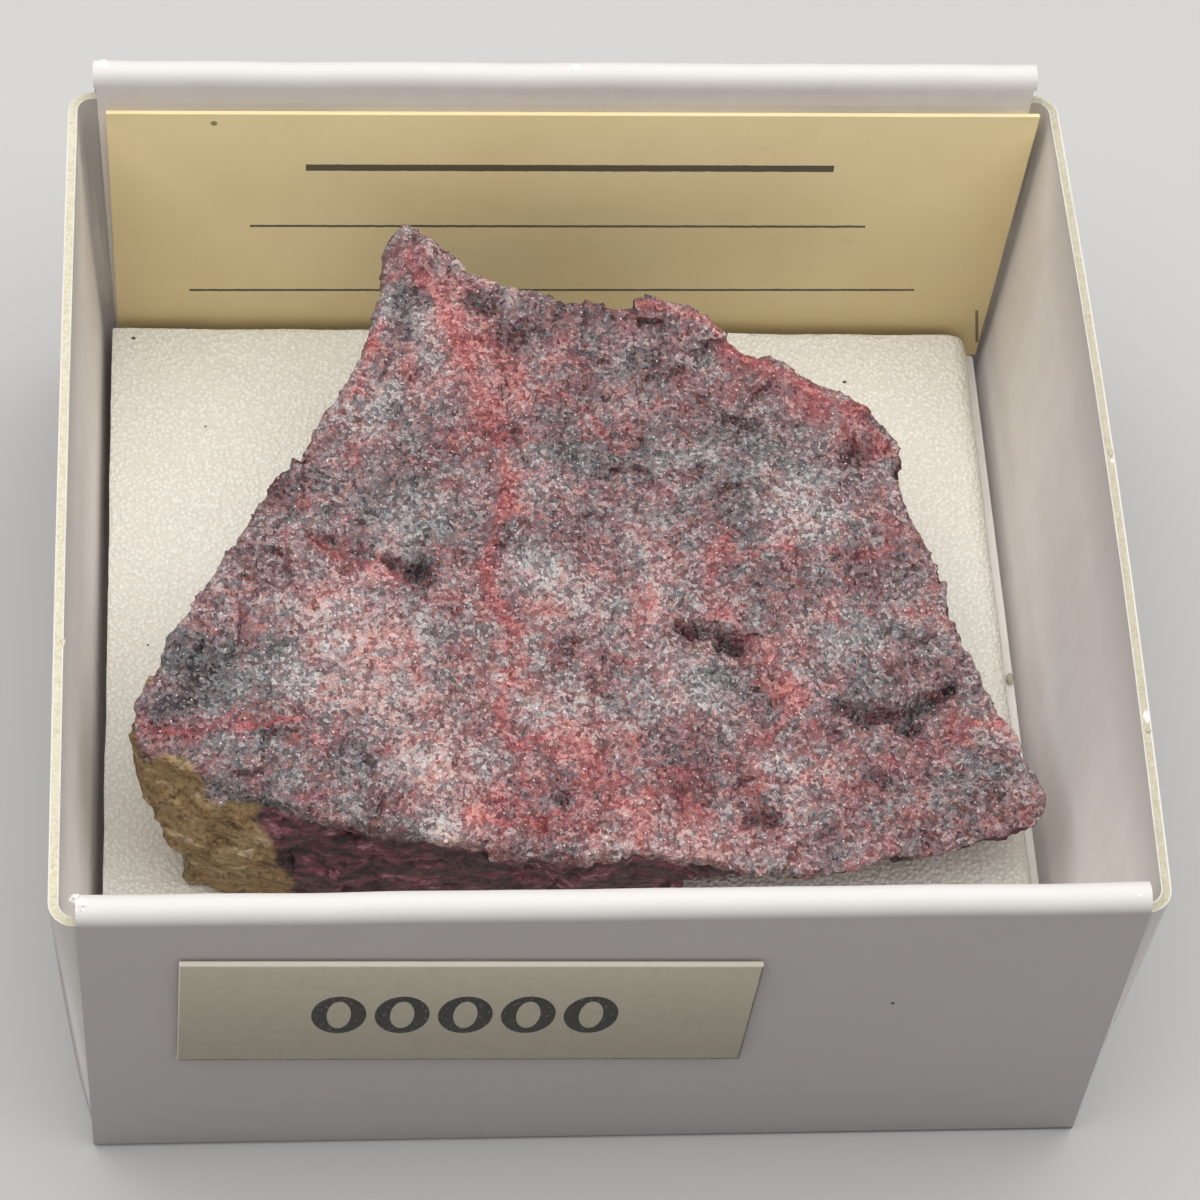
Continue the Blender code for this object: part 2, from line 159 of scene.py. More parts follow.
class Wire:
    """An output inside a material. Sums on it add Math nodes."""

    def __init__(self, finish, socket):
        self.finish = finish
        self.socket = socket

    def maths(self, operation, first, second=None):
        inputs = {0: first} if second is None else {0: first, 1: second}
        return self.finish.add("ShaderNodeMath", {"operation": operation}, inputs)

    def __add__(self, other):
        return self.maths("ADD", self, other)

    __radd__ = __add__

    def __sub__(self, other):
        return self.maths("SUBTRACT", self, other)

    def __rsub__(self, other):
        return self.maths("SUBTRACT", other, self)

    def __mul__(self, other):
        return self.maths("MULTIPLY", self, other)

    __rmul__ = __mul__

    def __truediv__(self, other):
        return self.maths("DIVIDE", self, other)

    def __gt__(self, other):
        return self.maths("GREATER_THAN", self, other)

    def __lt__(self, other):
        return self.maths("LESS_THAN", self, other)

    def __abs__(self):
        return self.maths("ABSOLUTE", self)


class Finish:
    """A material being made: one Principled shader, and the nodes that feed it."""

    def __init__(self, name, roughness=0.6, specular=0.5):
        self.material = bpy.data.materials.new(name)
        self.material.use_nodes = True
        self.tree = self.material.node_tree
        self.shader = self.tree.nodes["Principled BSDF"]
        self.shader.inputs["Roughness"].default_value = roughness
        self.shader.inputs["Specular IOR Level"].default_value = specular
        self.place = self.add("ShaderNodeTexCoord", output="Object")

    def feed(self, socket, value):
        """Links or sets one input."""
        if isinstance(value, Wire):
            self.tree.links.new(value.socket, socket)
        elif socket.type == "RGBA":
            socket.default_value = (*value[:3], 1.0)
        else:
            socket.default_value = value

    def add(self, kind, settings=(), inputs=(), output=0):
        """A node with its settings, then the values or links of its inputs; gives the output asked for."""
        node = self.tree.nodes.new(kind)
        for key, value in dict(settings).items():
            if key == "stops":
                ramp = node.color_ramp
                while len(ramp.elements) < len(value):
                    ramp.elements.new(0.5)
                for element, (at, shade) in zip(ramp.elements, value):
                    element.position = at
                    element.color = (*shade[:3], 1.0)
            else:
                setattr(node, key, value)
        for key, value in dict(inputs).items():
            self.feed(node.inputs[key], value)
        return Wire(self, node.outputs[output])

    def noise(self, size, detail=2.0, roughness=0.5, place=None, output=0):
        """Cloudy noise whose features are about this many millimetres across."""
        return self.add("ShaderNodeTexNoise", {}, {
            "Vector": place or self.place, "Scale": 1 / (size * MM), "Detail": detail,
            "Roughness": roughness,
        }, output)

    def cells(self, size, place=None, output="Distance"):
        """Cells about this many millimetres across."""
        return self.add("ShaderNodeTexVoronoi", {}, {
            "Vector": place or self.place, "Scale": 1 / (size * MM),
        }, output)

    def vectors(self, operation, first, second, output=0):
        """Two places or colours put together, number by number."""
        return self.add("ShaderNodeVectorMath", {"operation": operation}, {0: first, 1: second}, output)

    def moved(self, step, place=None):
        """The place shifted by a step in millimetres."""
        return self.vectors("ADD", place or self.place, tuple(c * MM for c in step))

    def stretched(self, scale, rotation=(0.0, 0.0, 0.0)):
        """The place scaled along each axis, then turned."""
        return self.add("ShaderNodeMapping", {}, {
            "Vector": self.place, "Rotation": rotation, "Scale": scale,
        })

    def warped(self, size, reach):
        """The place pushed about by noise of a size, up to a reach, both in millimetres."""
        centred = self.vectors("SUBTRACT", self.noise(size, output="Color"), MID_GREY)
        push = self.add("ShaderNodeVectorMath", {"operation": "SCALE"}, {
            0: centred, "Scale": 2 * reach * MM,
        })
        return self.vectors("ADD", self.place, push)

    def step(self, value, low, high):
        """Eases from 0 to 1 between two values."""
        return self.add("ShaderNodeMapRange", {"interpolation_type": "SMOOTHSTEP"}, {
            "Value": value, "From Min": low, "From Max": high,
        })

    def clamp(self, value):
        """The value, held between 0 and 1."""
        return self.add("ShaderNodeClamp", {}, {"Value": value})

    def mix(self, amount, first, second):
        """One colour over another."""
        inputs = {MIX_AMOUNT: amount, MIX_FIRST: first, MIX_SECOND: second}
        return self.add("ShaderNodeMix", {"data_type": "RGBA"}, inputs, MIX_COLOUR)

    def ramp(self, value, stops):
        """A colour along a ramp."""
        return self.add("ShaderNodeValToRGB", {"stops": stops}, {"Fac": value})

    def parts(self, kind, value):
        """The three numbers that a colour or a place is made of."""
        node = self.tree.nodes.new(kind)
        self.feed(node.inputs[0], value)
        return [Wire(self, socket) for socket in node.outputs]

    def axes(self, place=None):
        """The place along x, y and z, in metres."""
        return self.parts("ShaderNodeSeparateXYZ", place or self.place)

    def attribute(self, name):
        """A number kept on the piece's own vertices."""
        return self.add("ShaderNodeAttribute", {"attribute_name": name}, output="Fac")

    def bump(self, height, strength, distance):
        """Relief finer than the mesh, of a depth in millimetres."""
        return self.add("ShaderNodeBump", {}, {
            "Height": height, "Strength": strength, "Distance": distance * MM,
        })

    def paint(self, base_colour, roughness=None, normal=None):
        """Joins what was made to the shader, and gives the material."""
        for socket, value in (("Base Color", base_colour), ("Roughness", roughness), ("Normal", normal)):
            if value is not None:
                self.feed(self.shader.inputs[socket], value)
        return self.material


# Making pieces by hand

WEIGHT_STEPS = 20
SMOOTH_UNDER = math.radians(40)


def deselect_all():
    for other in bpy.context.view_layer.objects:
        other.select_set(False)


def make_active(piece):
    """Only this piece is selected."""
    deselect_all()
    piece.select_set(True)
    bpy.context.view_layer.objects.active = piece


def copy_of_node(node, name):
    """A piece that starts as a CAD node's mesh, its loose triangles merged."""
    mesh = frame["nodes"][node].data.copy()
    mesh.materials.clear()
    piece = bpy.data.objects.new(name, mesh)
    bpy.context.scene.collection.objects.link(piece)
    make_active(piece)
    bpy.ops.mesh.customdata_custom_splitnormals_clear()
    bpy.ops.object.mode_set(mode="EDIT")
    bpy.ops.mesh.select_all(action="SELECT")
    bpy.ops.mesh.remove_doubles(threshold=1e-6)
    bpy.ops.object.mode_set(mode="OBJECT")
    return piece


def modify(piece, kind, **settings):
    """Adds a modifier and applies it."""
    make_active(piece)
    bpy.ops.object.modifier_add(type=kind)
    modifier = piece.modifiers[-1]
    for key, value in settings.items():
        setattr(modifier, key, value)
    bpy.ops.object.modifier_apply(modifier=modifier.name)


def displace(piece, kind, size, height, group="", level=0.5, **settings):
    """Pushes the surface in and out by a texture with features of a size in metres."""
    texture = bpy.data.textures.new(f"{piece.name}_{kind.lower()}", kind)
    texture.noise_scale = size
    for key, value in settings.items():
        setattr(texture, key, value)
    modify(
        piece, "DISPLACE", texture=texture, texture_coords="LOCAL", strength=height,
        mid_level=level, vertex_group=group,
    )


def spots_in(piece):
    """The piece's vertices as rows of x, y, z in millimetres."""
    flat = np.empty(len(piece.data.vertices) * 3, np.float32)
    piece.data.vertices.foreach_get("co", flat)
    return flat.reshape(-1, 3).astype(float) / MM


def put_back(piece, spots):
    """Moves the vertices to rows of x, y, z in millimetres."""
    piece.data.vertices.foreach_set("co", (spots * MM).astype(np.float32).ravel())
    piece.data.update()


def keep_number(piece, name, values):
    """Keeps a number on every vertex for the material to read."""
    attribute = piece.data.attributes.new(name, "FLOAT", "POINT")
    attribute.data.foreach_set("value", np.asarray(values, np.float32))


def weigh(piece, name, weights):
    """A vertex group with a weight for every vertex."""
    group = piece.vertex_groups.new(name=name)
    levels = np.round(np.clip(weights, 0, 1) * WEIGHT_STEPS).astype(int)
    for level in np.unique(levels):
        if level:
            group.add(np.flatnonzero(levels == level).tolist(), level / WEIGHT_STEPS, "REPLACE")


def ease(values, low, high):
    """0 below low, 1 above high, smooth between."""
    along = np.clip((values - low) / (high - low), 0, 1)
    return along * along * (3 - 2 * along)


def fade(away, reach):
    """1 near a place, easing to 0 past its reach."""
    return 1 - ease(away, 0.3 * reach, 1.6 * reach)


def cloud(spots, size, seed):
    """Smooth noise between about -1 and 1 at rows of x, y, z."""
    shift = Vector((seed * 7.31, seed * 3.17, seed * 5.59))
    return np.array([noise.noise(Vector(spot) / size + shift) for spot in spots])


def line_field(spots, lines):
    """How strongly every vertex lies on one of the lines, each a strength, a reach and its corners."""
    field = np.zeros(len(spots))
    for strength, reach, corners in lines:
        for start, end in zip(corners, corners[1:]):
            line = np.subtract(end, start)
            along = np.clip((spots[:, :2] - start) @ line / (line @ line), 0, 1)
            away = np.linalg.norm(spots[:, :2] - start - along[:, None] * line, axis=1)
            field = np.maximum(field, strength * fade(away, reach))
    return field


def patch_field(spots, patches):
    """How strongly every vertex lies in one of the patches, each its x, y, radius and strength."""
    field = np.zeros(len(spots))
    for x, y, radius, strength in patches:
        away = np.hypot(spots[:, 0] - x, spots[:, 1] - y)
        field = np.maximum(field, strength * fade(away, radius))
    return field


def break_up(piece, size, tilt, weights, seed):
    """Breaks the surface into small flat faces of a size in millimetres, each leaning its own way."""
    spots = spots_in(piece)
    area = sum(face.area for face in piece.data.polygons) / MM ** 2
    chance = np.random.default_rng(seed)
    picked = chance.choice(len(spots), int(area / size ** 2), replace=False)
    leans = chance.normal(0.0, tilt, (len(picked), 3))
    tree = KDTree(len(picked))
    for i, spot in enumerate(spots[picked]):
        tree.insert(spot, i)
    tree.balance()
    nearest = np.array([tree.find(spot)[1] for spot in spots])
    normals = np.array([vertex.normal for vertex in piece.data.vertices])
    push = ((spots - spots[picked][nearest]) * leans[nearest]).sum(axis=1) * weights
    put_back(piece, spots + normals * push[:, None])


def draw_out(piece, middle, step, reach):
    """Pulls the surface round a place by a step, less and less out to a reach."""
    spots = spots_in(piece)
    away = np.linalg.norm(spots - middle, axis=1)
    put_back(piece, spots + np.array(step) * (1 - ease(away, 0.2 * reach, reach))[:, None])


def sink(piece, full, none, drop):
    """Lowers what is under one height by a drop, and nothing over a higher one, to rest the piece."""
    spots = spots_in(piece)
    spots[:, 2] -= drop * (1 - ease(spots[:, 2], full, none))
    put_back(piece, spots)


def settle(piece, slot, *nodes, padded=None):
    """The piece rides on the frame and stands for its CAD node; the slot is not used."""
    make_active(piece)
    bpy.ops.object.shade_smooth_by_angle(angle=SMOOTH_UNDER)
    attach(piece, BODY)
    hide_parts(*nodes)


# The stone

# The upper face's plane, as its height in the middle and its slopes in x and y
TOP_HEIGHT, TOP_SLOPE_X, TOP_SLOPE_Y = 11.7, -0.1456, 0.08
# Places drawn out: middle, step and reach, for the peak and for the left corner
DRAWN_OUT = (
    ((-6.4, 15.4, 13.6), (-0.45, 0.4, 0.25), 2.2),
    ((-18.6, -8.6, 7.6), (0.5, 0.1, 0.0), 4.2),
)
# Widths in millimetres of the relief's lumps, of the knobs on the sides and of the grains
LUMP, KNOB, GRAIN_RELIEF = 1.6, 1.3, 0.36
# How far a ledge drops, a hollow fills and the stone comes down to rest on the foam
LEDGE_DROP, HOLLOW_FILL, STONE_GAP = 0.6, 0.22, 0.27
# Widths in millimetres of a coloured grain and of the specks in it
GRAIN, FINE_GRAIN = 0.16, 0.075
# Patches on the upper face: x, y and radius in millimetres, and strength
RED_PATCHES = (
    (-6.3, 14.5, 1.0, 0.8), (-5.1, 13.1, 1.0, 0.8), (-4.5, 10.9, 1.2, 0.8), (-3.5, 8.8, 1.6, 0.85),
    (-3.5, 6.8, 1.4, 0.85), (-3.0, 4.9, 0.9, 0.8), (-2.9, 3.3, 0.7, 0.6), (-3.4, 1.6, 0.6, 0.6),
    (-3.7, 0.1, 0.6, 0.7), (-3.8, -1.5, 0.5, 0.6), (-3.0, -3.7, 0.6, 0.5), (-3.2, -5.1, 0.7, 0.6),
    (-3.4, -6.5, 0.7, 0.7), (-8.3, 10.3, 0.5, 0.7), (-6.9, 9.6, 0.5, 0.8), (-9.1, 8.2, 0.4, 0.6),
    (4.4, 13.5, 0.8, 0.7), (6.1, 12.8, 0.7, 0.8), (6.9, 11.6, 0.6, 0.7), (8.8, 10.0, 0.8, 0.8),
    (10.3, 8.9, 0.9, 0.9), (12.2, 8.3, 0.8, 0.8), (12.7, 7.1, 0.6, 0.7), (5.9, 1.4, 0.7, 0.8),
    (5.4, 0.4, 0.5, 0.7), (2.8, -1.2, 0.7, 0.9), (6.0, -1.5, 0.5, 0.9), (7.7, -2.9, 0.6, 0.8),
    (8.2, -4.7, 0.9, 0.8), (7.2, -4.3, 0.5, 0.6), (10.2, 2.1, 0.5, 0.4), (12.7, 1.8, 0.5, 0.6),
    (-9.3, -0.2, 0.8, 0.7), (-7.7, -0.5, 0.8, 0.7), (-10.7, 0.6, 0.5, 0.5), (-17.5, -8.2, 0.5, 0.9),
    (-15.8, -8.3, 0.6, 0.8), (-14.2, -8.1, 0.6, 0.7), (-12.2, -8.2, 0.5, 0.5), (-2.5, -9.6, 1.5, 0.55),
    (-0.8, -7.7, 1.3, 0.8), (0.3, -9.4, 1.5, 0.7), (1.9, -10.6, 1.3, 0.95), (3.6, -9.1, 1.2, 0.6),
    (-1.0, -11.2, 1.4, 0.8), (-3.8, -11.0, 1.3, 0.75), (4.3, -10.8, 0.8, 0.6), (6.1, -8.9, 0.7, 0.5),
    (15.5, -6.0, 0.7, 0.8), (14.4, -6.7, 0.5, 0.7), (16.8, -5.4, 0.5, 0.7), (10.6, -4.0, 0.5, 0.6),
    (9.1, -6.5, 0.5, 0.6), (17.7, -9.5, 0.8, 0.5), (12.4, -7.8, 0.5, 0.6), (11.0, -9.0, 0.5, 0.5),
    (7.0, -7.1, 0.6, 0.5), (-5.1, -3.9, 0.5, 0.35), (1.6, -3.6, 0.6, 0.5), (-0.9, 9.3, 1.0, 0.4),
    (6.9, -8.9, 0.6, 0.6),
)
PALE_PATCHES = (
    (-7.6, -5.5, 2.4, 0.3), (-10.2, -3.9, 0.6, 0.7), (-12.2, -2.0, 0.6, 0.6), (-6.1, -9.4, 0.8, 0.9),
    (-4.6, -11.5, 1.0, 0.8), (-5.8, -12.0, 0.8, 0.9), (0.2, -12.1, 0.8, 1), (2.8, -12.4, 0.6, 0.9),
    (-0.6, -8.1, 1.0, 0.5), (8.3, 5.2, 0.9, 0.6), (6.6, 6.3, 1.2, 0.5), (9.9, 4.0, 1.2, 0.5),
    (-0.7, 4.4, 1.2, 0.4), (-1.7, 0.3, 1.0, 0.6), (-6.6, 2.5, 1.3, 0.35), (-2.0, -1.6, 0.6, 0.5),
    (12.4, -2.5, 1.0, 0.5), (10.7, -2.6, 0.8, 0.5), (-12.4, -5.6, 0.7, 0.6), (5.5, -4.9, 0.7, 0.4),
    (-9.5, -11.8, 0.5, 0.5), (16.6, -8.0, 0.8, 0.4), (1.0, -12.8, 0.7, 0.9), (3.2, -1.4, 0.5, 0.5),
    (-6.5, -6.5, 5.0, 0.15), (-3.0, -10.5, 3.5, 0.35),
)
DARK_PATCHES = (
    (-3.6, 12.9, 0.8, 1), (-2.6, 11.5, 0.8, 0.7), (-6.7, 12.6, 0.7, 0.7), (-7.2, 11.1, 0.6, 0.6),
    (3.2, 10.6, 0.8, 0.8), (3.9, 11.8, 0.8, 0.6), (4.7, 10.4, 0.7, 0.5), (12.0, 6.6, 0.7, 0.7),
    (6.2, 7.3, 0.5, 0.4), (11.6, -5.5, 0.6, 0.5), (14.3, -4.6, 0.7, 0.6), (13.4, -5.9, 0.5, 0.8),
    (10.2, -6.4, 0.4, 0.7), (8.0, -9.0, 4.5, 0.22), (14.5, -8.5, 3.0, 0.22), (2.5, 11.0, 4.0, 0.28),
    (0.0, 7.0, 5.0, 0.16), (-9.5, 6.0, 3.0, 0.16), (10.5, -1.5, 5.0, 0.14), (-6.7, -0.5, 0.6, 0.8),
    (-9.1, 0.1, 0.5, 0.5), (-15.8, -4.8, 1.4, 0.8), (-16.0, -6.6, 1.0, 0.6), (-16.9, -7.5, 0.6, 0.6),
    (-14.2, -4.4, 0.7, 0.5), (6.8, -10.6, 0.7, 0.8), (11.9, -8.5, 0.5, 0.6), (13.4, -11.1, 0.8, 0.6),
    (-1.1, -10.1, 0.5, 0.7), (-3.2, 6.1, 0.4, 0.4), (9.1, -0.9, 0.6, 0.4), (11.9, 1.7, 0.6, 0.5),
    (3.6, -9.1, 0.4, 0.4), (-14.0, -0.1, 0.6, 0.4), (-10.3, 5.7, 0.6, 0.5), (-12.5, 3.1, 0.5, 0.4),
    (9.4, -9.2, 0.6, 0.4),
)
COOL_PATCHES = (
    (-15.6, -5.7, 2.1, 0.9), (-12.8, -5.4, 1.5, 0.7), (7.9, 5.7, 2.5, 0.7), (9.9, 3.5, 1.5, 0.6),
    (11.5, -2.6, 1.8, 0.7), (-6.6, 2.5, 2.3, 0.5), (0.2, 5.0, 1.5, 0.4), (-1.7, 0.3, 1.3, 0.6),
    (-13.6, -9.7, 2.3, 0.5), (-9.7, -10.5, 1.5, 0.4), (17.0, -8.2, 1.3, 0.5), (5.1, -4.9, 1.5, 0.5),
    (3.8, 6.3, 1.5, 0.4), (-7.0, 12.1, 1.0, 0.6), (3.4, 10.2, 1.0, 0.5), (15.3, -8.3, 1.5, 0.4),
    (-8.6, 7.1, 1.4, 0.4), (-14.4, 0.4, 1.2, 0.4),
)
# Lines on the upper face: strength, reach in millimetres, and the corners' x and y
RED_VEINS = (
    (0.9, 0.5, ((-6.5, 14.4), (-5.4, 12.4), (-4.6, 10.4), (-3.9, 8.2), (-3.3, 6.3))),
    (0.75, 0.77, ((-4.3, 9.9), (-3.6, 8.2), (-3.3, 7.1))),
    (0.85, 0.31, (
        (-3.3, 6.3), (-2.8, 4.4), (-3.0, 3.0), (-3.6, 1.4), (-4.0, 0.1), (-3.8, -1.2), (-3.3, -2.3),
        (-2.6, -2.9),
    )),
    (0.6, 0.23, ((-6.3, 13.7), (-4.2, 11.5), (-2.3, 9.6), (-1.8, 7.7))),
    (0.75, 0.27, ((-2.6, -4.1), (-3.4, -5.5), (-3.6, -7.0), (-3.2, -8.3))),
    (0.7, 0.35, ((-3.2, -8.3), (-1.7, -7.4), (-0.3, -7.6), (0.4, -8.7), (-0.1, -10.1))),
    (0.8, 0.31, ((-5.0, -11.2), (-3.2, -11.4), (-1.4, -11.0), (1.1, -10.2), (2.3, -10.9), (2.0, -11.8))),
    (0.8, 0.27, (
        (3.1, 13.1), (4.8, 13.0), (6.1, 12.6), (7.0, 11.4), (8.8, 10.6), (10.3, 9.6), (11.9, 8.6),
        (12.9, 7.8), (13.5, 6.9),
    )),
    (0.7, 0.23, ((6.3, 2.5), (5.8, 1.5), (5.5, 0.4))),
    (0.6, 0.19, ((6.4, 1.0), (7.6, 1.8), (8.8, 1.9))),
    (0.75, 0.23, ((5.9, -1.6), (7.0, -2.5), (7.6, -3.4), (8.1, -4.4), (9.3, -5.0))),
    (0.85, 0.19, ((-17.7, -8.4), (-16.3, -8.4), (-14.8, -8.2), (-12.8, -7.9), (-11.6, -7.6))),
    (0.75, 0.23, ((-10.9, 0.7), (-9.4, -0.2), (-8.2, -0.6), (-7.3, -0.4))),
    (0.7, 0.19, ((9.2, -5.0), (8.1, -6.1), (7.0, -7.5))),
    (0.7, 0.23, ((15.3, -5.6), (16.5, -5.4), (17.4, -5.4))),
    (0.6, 0.19, ((13.7, -6.6), (14.9, -7.4), (16.5, -8.2))),
    (0.7, 0.19, ((-9.1, 8.1), (-8.5, 10.1), (-8.0, 11.5))),
    (0.6, 0.19, ((10.2, 2.0), (11.9, 1.8), (13.4, 2.3))),
    (0.55, 0.19, ((3.6, -9.1), (5.2, -9.7), (6.9, -9.3), (9.0, -8.8))),
    (0.55, 0.19, ((-0.9, 9.2), (0.7, 7.9), (1.9, 6.1))),
    (0.5, 0.15, ((-14.0, -10.4), (-11.7, -11.1), (-9.3, -10.5))),
)
LEDGES = (
    (1.0, 0.24, ((4.0, -1.9), (4.9, -2.2), (5.4, -2.3))),
    (1.0, 0.26, ((5.6, -2.6), (6.5, -2.7))),
    (0.9, 0.24, ((10.4, -5.2), (11.5, -5.5), (12.4, -5.3), (13.3, -5.3), (14.3, -4.6), (15.4, -3.9))),
    (0.7, 0.25, ((13.0, -5.8), (13.8, -5.9))),
    (0.8, 0.26, ((-7.9, 0.1), (-7.1, -0.5), (-6.4, -0.6))),
    (0.5, 0.25, ((-11.0, 0.9), (-9.6, 0.3), (-8.6, 0.2))),
    (0.6, 0.25, ((10.0, -6.2), (10.5, -6.6))),
    (0.6, 0.22, ((6.3, -10.7), (7.4, -10.8))),
    (0.5, 0.2, ((11.3, -8.4), (12.4, -8.7))),
)
# A hollow of the solid that is filled, and a corner that the crust covers
FILLED = ((-8.65, -10.55, 0.3, 1),)
CRUSTED = ((-16.6, -10.2, 0.9, 1),)


def top_colour(finish, settings, grain_tone, grain_red, fine):
    """Grey quartz with red ore through it, as the lists of patches and veins say."""
    rough_place = finish.warped(0.9, 0.14)
    broad = finish.noise(5.0, roughness=0.6)
    patches = finish.noise(1.1, detail=3.0, roughness=0.9, place=rough_place)
    red = finish.attribute("red")
    level = 0.5 + (broad - 0.5) * 0.9 + (patches - 0.5) * 0.55 + (grain_tone - 0.5) * 0.5
    level = level + (fine - 0.5) * 0.9 + finish.attribute("pale") * 0.17
    # Darker where the dark number says: the listed dark patches, and painted shade along the ledges
    level = finish.clamp(level - finish.attribute("dark") * 0.42 + red * 0.04)
    grey = finish.ramp(level, (
        (0.0, settings.shadow_grey), (0.5, settings.matrix_grey), (1.0, settings.quartz),
    ))
    ore = finish.ramp(level, (
        (0.0, settings.cinnabar_dark), (0.5, settings.cinnabar), (1.0, settings.cinnabar_bright),
    ))
    stain = finish.noise(1.5, detail=4.0, roughness=0.85, place=finish.moved((31, 7, 3), rough_place))
    redness = (stain - 0.5) * 1.9 + red * 0.46 - finish.attribute("cool") * 0.34 + (grain_red - 0.5) * 0.3
    top = finish.mix(finish.step(redness, -0.42, 0.64), grey, ore)
    warm_grain = finish.step(grain_red + (stain - 0.5), 0.7, 1.0)
    return finish.mix(warm_grain * 0.22, top, tone(132, 100, 72))


def side_colour(finish, settings, grain_tone, dust):
    """Dark broken rock, and brown weathered crust where the tan number says so."""
    bands = finish.noise(
        0.6, detail=4.0, roughness=0.75, place=finish.stretched((0.35, 0.35, 1.3), (0.0, 0.35, 0.0)),
    )
    broken = finish.ramp(bands, (
        (0.34, tone(36, 26, 30)), (0.48, settings.maroon), (0.58, tone(118, 62, 74)),
        (0.7, tone(160, 134, 138)),
    ))
    weathered = finish.ramp(bands, (
        (0.3, tone(70, 52, 36)), (0.44, settings.ochre), (0.56, tone(150, 128, 92)),
        (0.7, tone(196, 182, 150)),
    ))
    side = finish.mix(finish.attribute("tan"), broken, weathered)
    shaded = finish.mix(0.45, side, tone(24, 18, 16))
    return finish.mix(finish.step(grain_tone + (dust - 0.5), 0.0, 0.4), shaded, side)


def stone_finish(settings):
    """Sugary quartz with cinnabar through it, weathered broken sides, and painted glints on some grains.
    """
    finish = Finish("cinnabar_quartz", roughness=0.6, specular=0.4)
    grain = finish.cells(GRAIN, output="Color")
    grain_middle = finish.cells(GRAIN, output="Position")
    grain_tone, grain_shine, grain_red = finish.parts("ShaderNodeSeparateColor", grain)
    fine = finish.noise(FINE_GRAIN, detail=1.0, roughness=0.6)
    dust = finish.noise(0.5, roughness=0.8, place=finish.moved((3, 11, 5)))
    top = top_colour(finish, settings, grain_tone, grain_red, fine)
    side = side_colour(finish, settings, grain_tone, dust)
    cover = finish.step(finish.attribute("crust") + (dust - 0.5) * 0.9, 0.3, 0.7)
    shine = finish.step(grain_shine, 0.9, 0.94) * (1 - cover)
    # Painted glints: tiny near-white spots on some grains, standing for the flash of their facets
    painted_glint = finish.step(finish.cells(0.3, place=finish.moved((5, 2, 9))), 0.17, 0.09)
    painted_glint = painted_glint * finish.step(fine, 0.46, 0.54) * (1 - cover)
    base = finish.mix(painted_glint * 0.7, finish.mix(cover, top, side), tone(244, 236, 236))
    roughness = 0.62 - finish.clamp(shine + painted_glint) * 0.42
    slope = finish.vectors("SUBTRACT", finish.place, grain_middle)
    lean = finish.vectors("SUBTRACT", grain, MID_GREY)
    facets = finish.vectors("DOT_PRODUCT", slope, lean, "Value")
    return finish.paint(base, roughness, finish.bump(facets * 12000.0 + fine * 0.5, 0.6, 0.09))


class SPECIMEN_OT_stone(bpy.types.Operator):
    """Builds the stone: its broken relief, its red vein and its weathered sides"""

    bl_idname = "specimen.stone"
    bl_label = "Stone"

    def execute(self, context):
        settings = context.scene.specimen_stone
        stone = copy_of_node("stone", "cinnabar_stone")
        modify(stone, "REMESH", mode="VOXEL", voxel_size=settings.mesh_size, use_smooth_shade=True)
        modify(stone, "SMOOTH", factor=0.5, iterations=3)
        for middle, step, reach in DRAWN_OUT:
            draw_out(stone, middle, step, reach)
        spots = spots_in(stone)
        depth = TOP_HEIGHT + TOP_SLOPE_X * spots[:, 0] + TOP_SLOPE_Y * spots[:, 1] - spots[:, 2]
        on_side = ease(depth, 0.6, 1.4)
        steep = 1 - ease(np.array([vertex.normal.z for vertex in stone.data.vertices]), 0.45, 0.8)
        under_rim = np.maximum(ease(depth, 1.7, 2.6), steep)
        foot = ease(spots[:, 2], 4.7, 5.6)
        weigh(stone, "all_but_foot", foot)
        weigh(stone, "sides", on_side * foot)
        displace(
            stone, "CLOUDS", LUMP * MM, settings.lumps, "all_but_foot",
            noise_depth=2, noise_type="HARD_NOISE",
        )
        break_up(stone, LUMP, 0.09, foot, seed=3)
        break_up(stone, 0.55, 0.17, foot, seed=4)
        displace(stone, "VORONOI", KNOB * MM, -0.6 * settings.lumps, "sides", level=0.4)
        displace(stone, "VORONOI", GRAIN_RELIEF * MM, -settings.grains, "all_but_foot", level=0.45)
        spots = spots_in(stone)
        spots[:, 2] += HOLLOW_FILL * patch_field(spots, FILLED)
        ledge = line_field(spots + 0.25 * cloud(spots, 0.8, 7)[:, None], LEDGES)
        spots[:, 2] -= LEDGE_DROP * ledge * (1 - on_side)
        put_back(stone, spots)
        warped = spots + 0.45 * np.stack([cloud(spots, 1.1, seed) for seed in (1, 2, 3)], axis=1)
        veins = line_field(spots + 0.4 * (warped - spots), RED_VEINS)
        keep_number(stone, "red", np.maximum(0.7 * patch_field(warped, RED_PATCHES), veins))
        keep_number(stone, "pale", patch_field(warped, PALE_PATCHES))
        # The dark number holds the listed dark patches and painted shade along the ledges' steps
        keep_number(stone, "dark", np.maximum(patch_field(warped, DARK_PATCHES), 0.8 * ledge))
        keep_number(stone, "cool", patch_field(warped, COOL_PATCHES))
        crusted = patch_field(spots, CRUSTED)
        shallow = 0.55 * ease(spots[:, 0], 8.0, 13.0)
        cover = ease(depth + shallow + 2 * crusted + 0.35 * cloud(spots, 1.4, 4), 0.5, 1.15)
        keep_number(stone, "crust", np.maximum(under_rim, crusted) * cover)
        sink(stone, 5.2, 7.5, STONE_GAP)
        border = spots[:, 0] - 0.2 * (11 - spots[:, 2]) + 0.6 * cloud(spots, 1.5, 5)
        keep_number(stone, "tan", 1 - ease(border, -13.2, -12.85))
        stone.data.materials.append(stone_finish(settings))
        settle(stone, "cinnabar_quartz", "stone")
        return {"FINISHED"}


# The tray

RIM_STEP = 0.4
SIDE_RIM = 17.7
FRONT_TOP = 19.1
BACK_TOP = 19.6
# Heights that only the folds stand above, and that the cut ends of the folded walls reach
FOLDS_FROM, ENDS_REACH = 17.9, SIDE_RIM + 0.5
